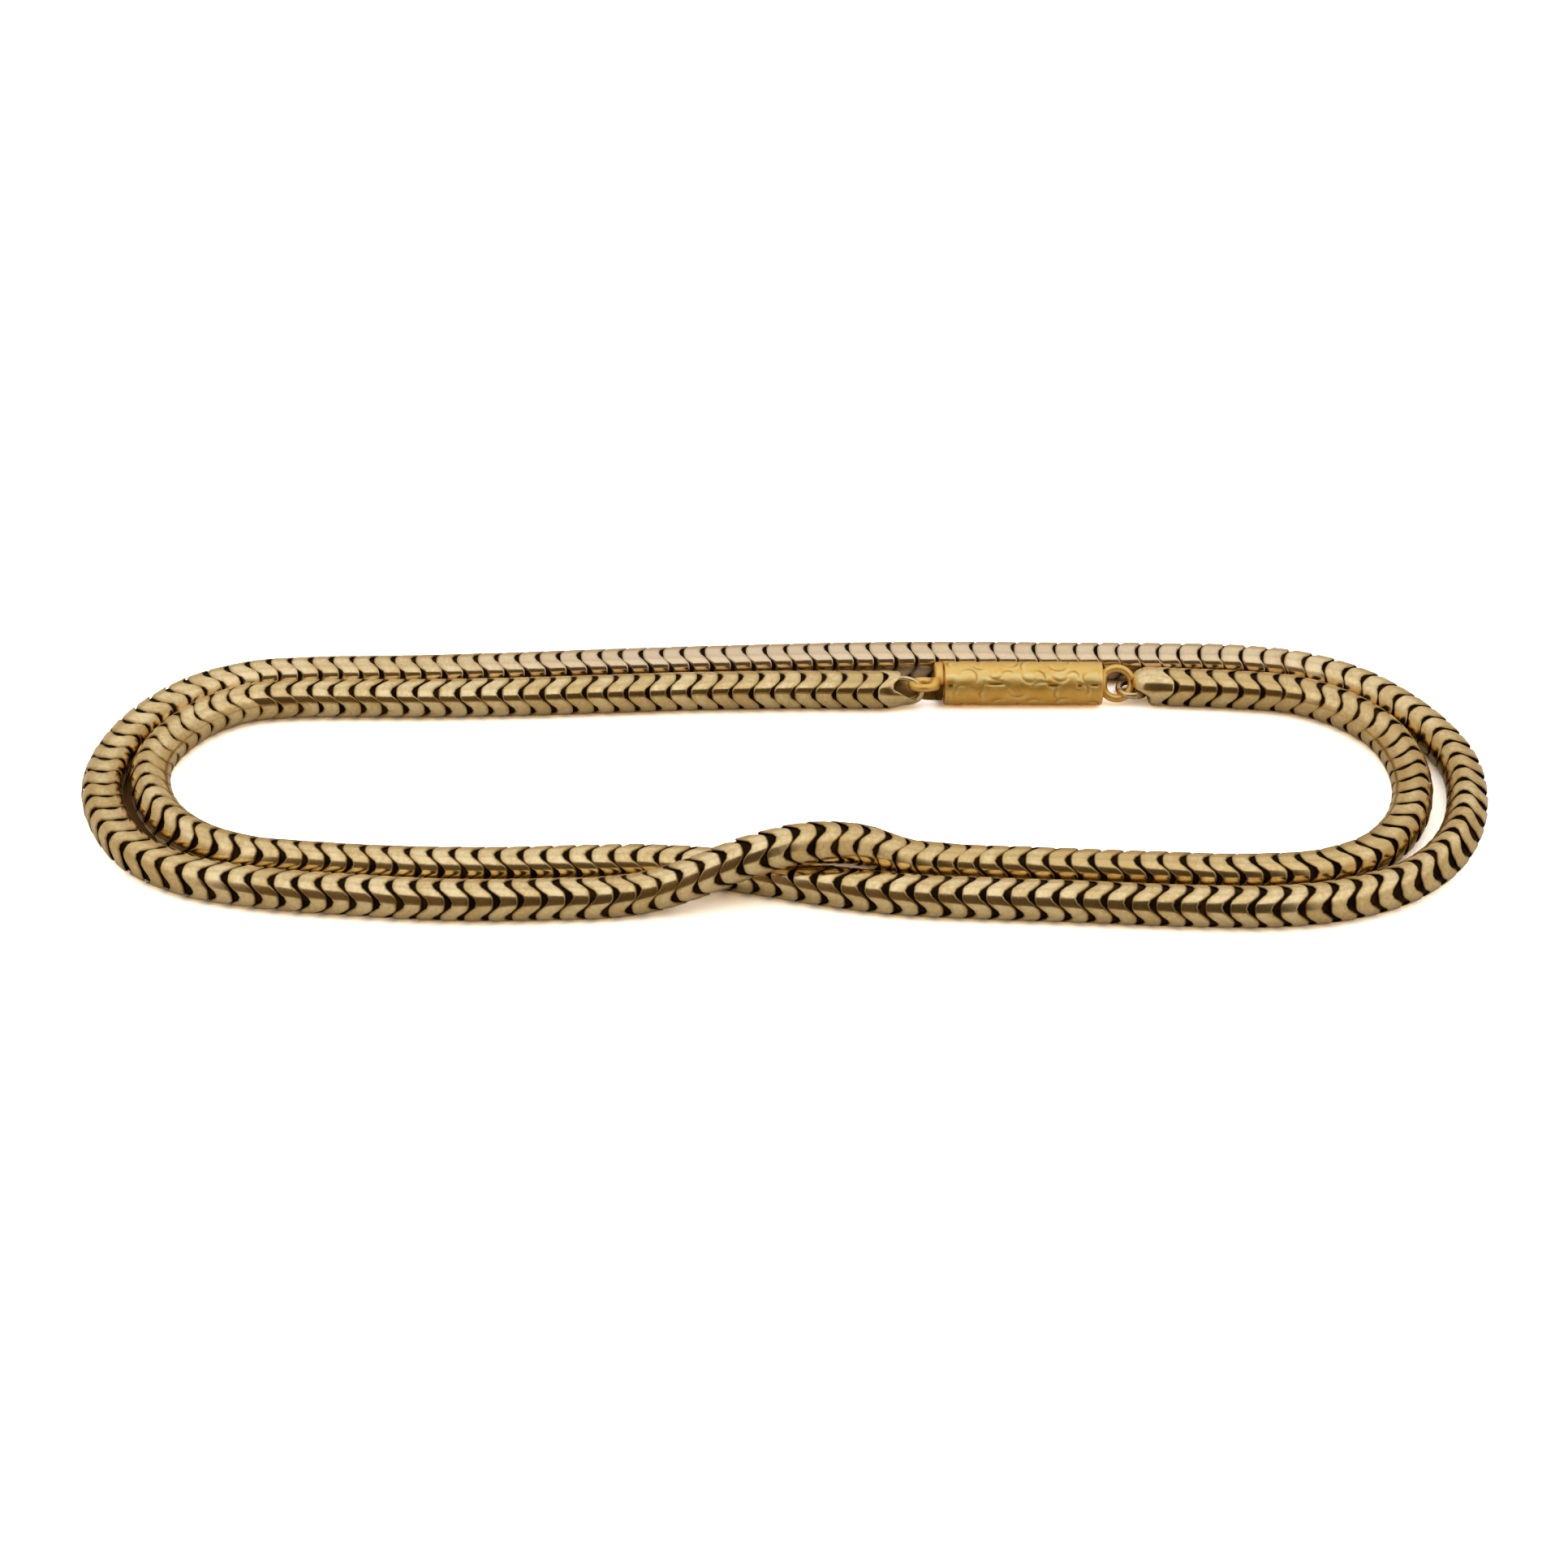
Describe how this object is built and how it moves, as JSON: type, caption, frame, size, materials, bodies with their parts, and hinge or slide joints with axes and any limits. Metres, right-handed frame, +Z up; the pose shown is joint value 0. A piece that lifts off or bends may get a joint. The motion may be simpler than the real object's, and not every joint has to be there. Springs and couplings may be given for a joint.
{
  "type": "snake chain necklace",
  "caption": "Gold snake chain of wavy interlocking links, lying doubled in a flat oval, with end cups and an engraved barrel clasp.",
  "frame": {"origin": "on the surface the chain lies on, under the middle of its box", "axes": "+X along the oval to its right end, +Y to the back, where the clasp is, +Z up"},
  "size_m": [0.1042, 0.0349, 0.0061],
  "materials": {
    "chain_gold": "worn pale old gold, polished on the ridges, dark between the links",
    "clasp_gold": "richer yellow old gold with worn hand engraving"
  },
  "bodies": {
    "root": {"chain": "chain_gold", "end_cap_left": "chain_gold", "end_cap_right": "chain_gold", "clasp_plug": "clasp_gold", "clasp_barrel": "clasp_gold"}
  },
  "joints": []
}
